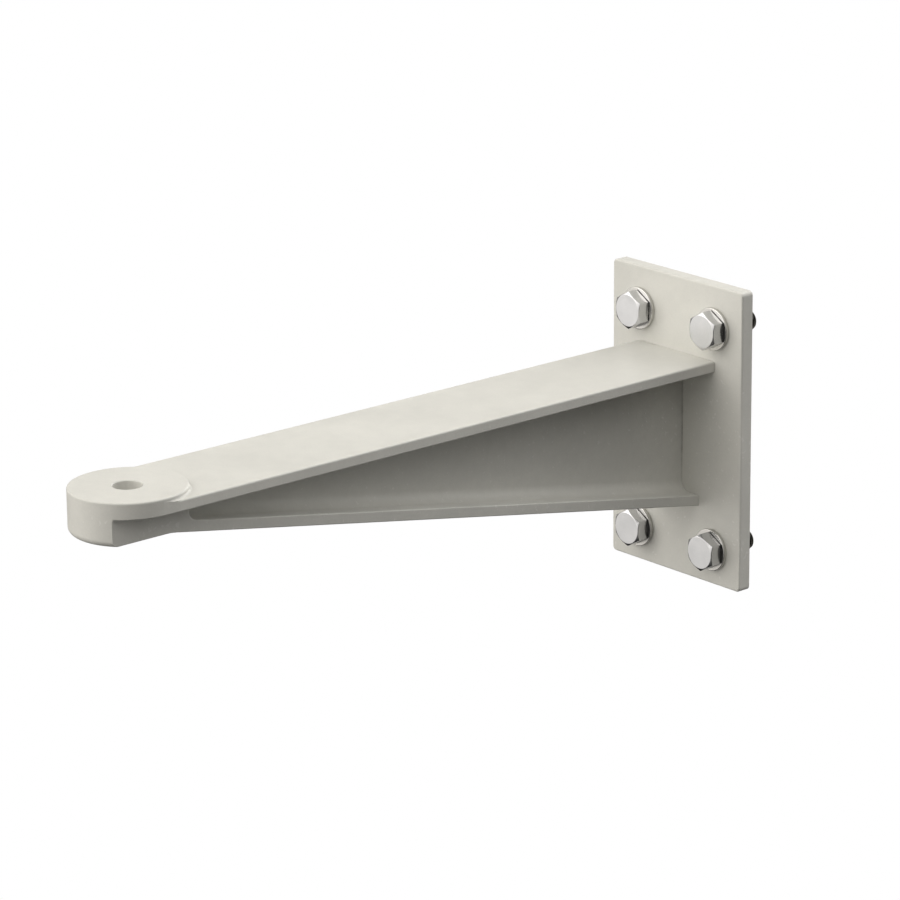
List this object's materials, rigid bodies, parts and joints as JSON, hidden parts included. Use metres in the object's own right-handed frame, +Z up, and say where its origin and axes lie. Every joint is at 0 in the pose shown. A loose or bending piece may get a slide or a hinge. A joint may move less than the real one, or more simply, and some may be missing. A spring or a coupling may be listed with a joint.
{
  "type": "wall bracket",
  "caption": "Painted cast wall bracket: a tapered I-section arm from a bolted wall plate to a round boss with an upright bore.",
  "frame": {"origin": "centre of the wall plate's back face, in the plane of the wall", "axes": "+Z up, +Y into the wall, +X to the right seen from the front; the arm reaches out along -Y"},
  "size_m": [0.12, 0.508, 0.2],
  "materials": {
    "paint": "satin",
    "bolt_steel": "satin",
    "washer_steel": "satin"
  },
  "bodies": {
    "root": {"bracket_casting": "paint", "hex_bolts": "bolt_steel", "flat_washers": "washer_steel"}
  },
  "joints": []
}
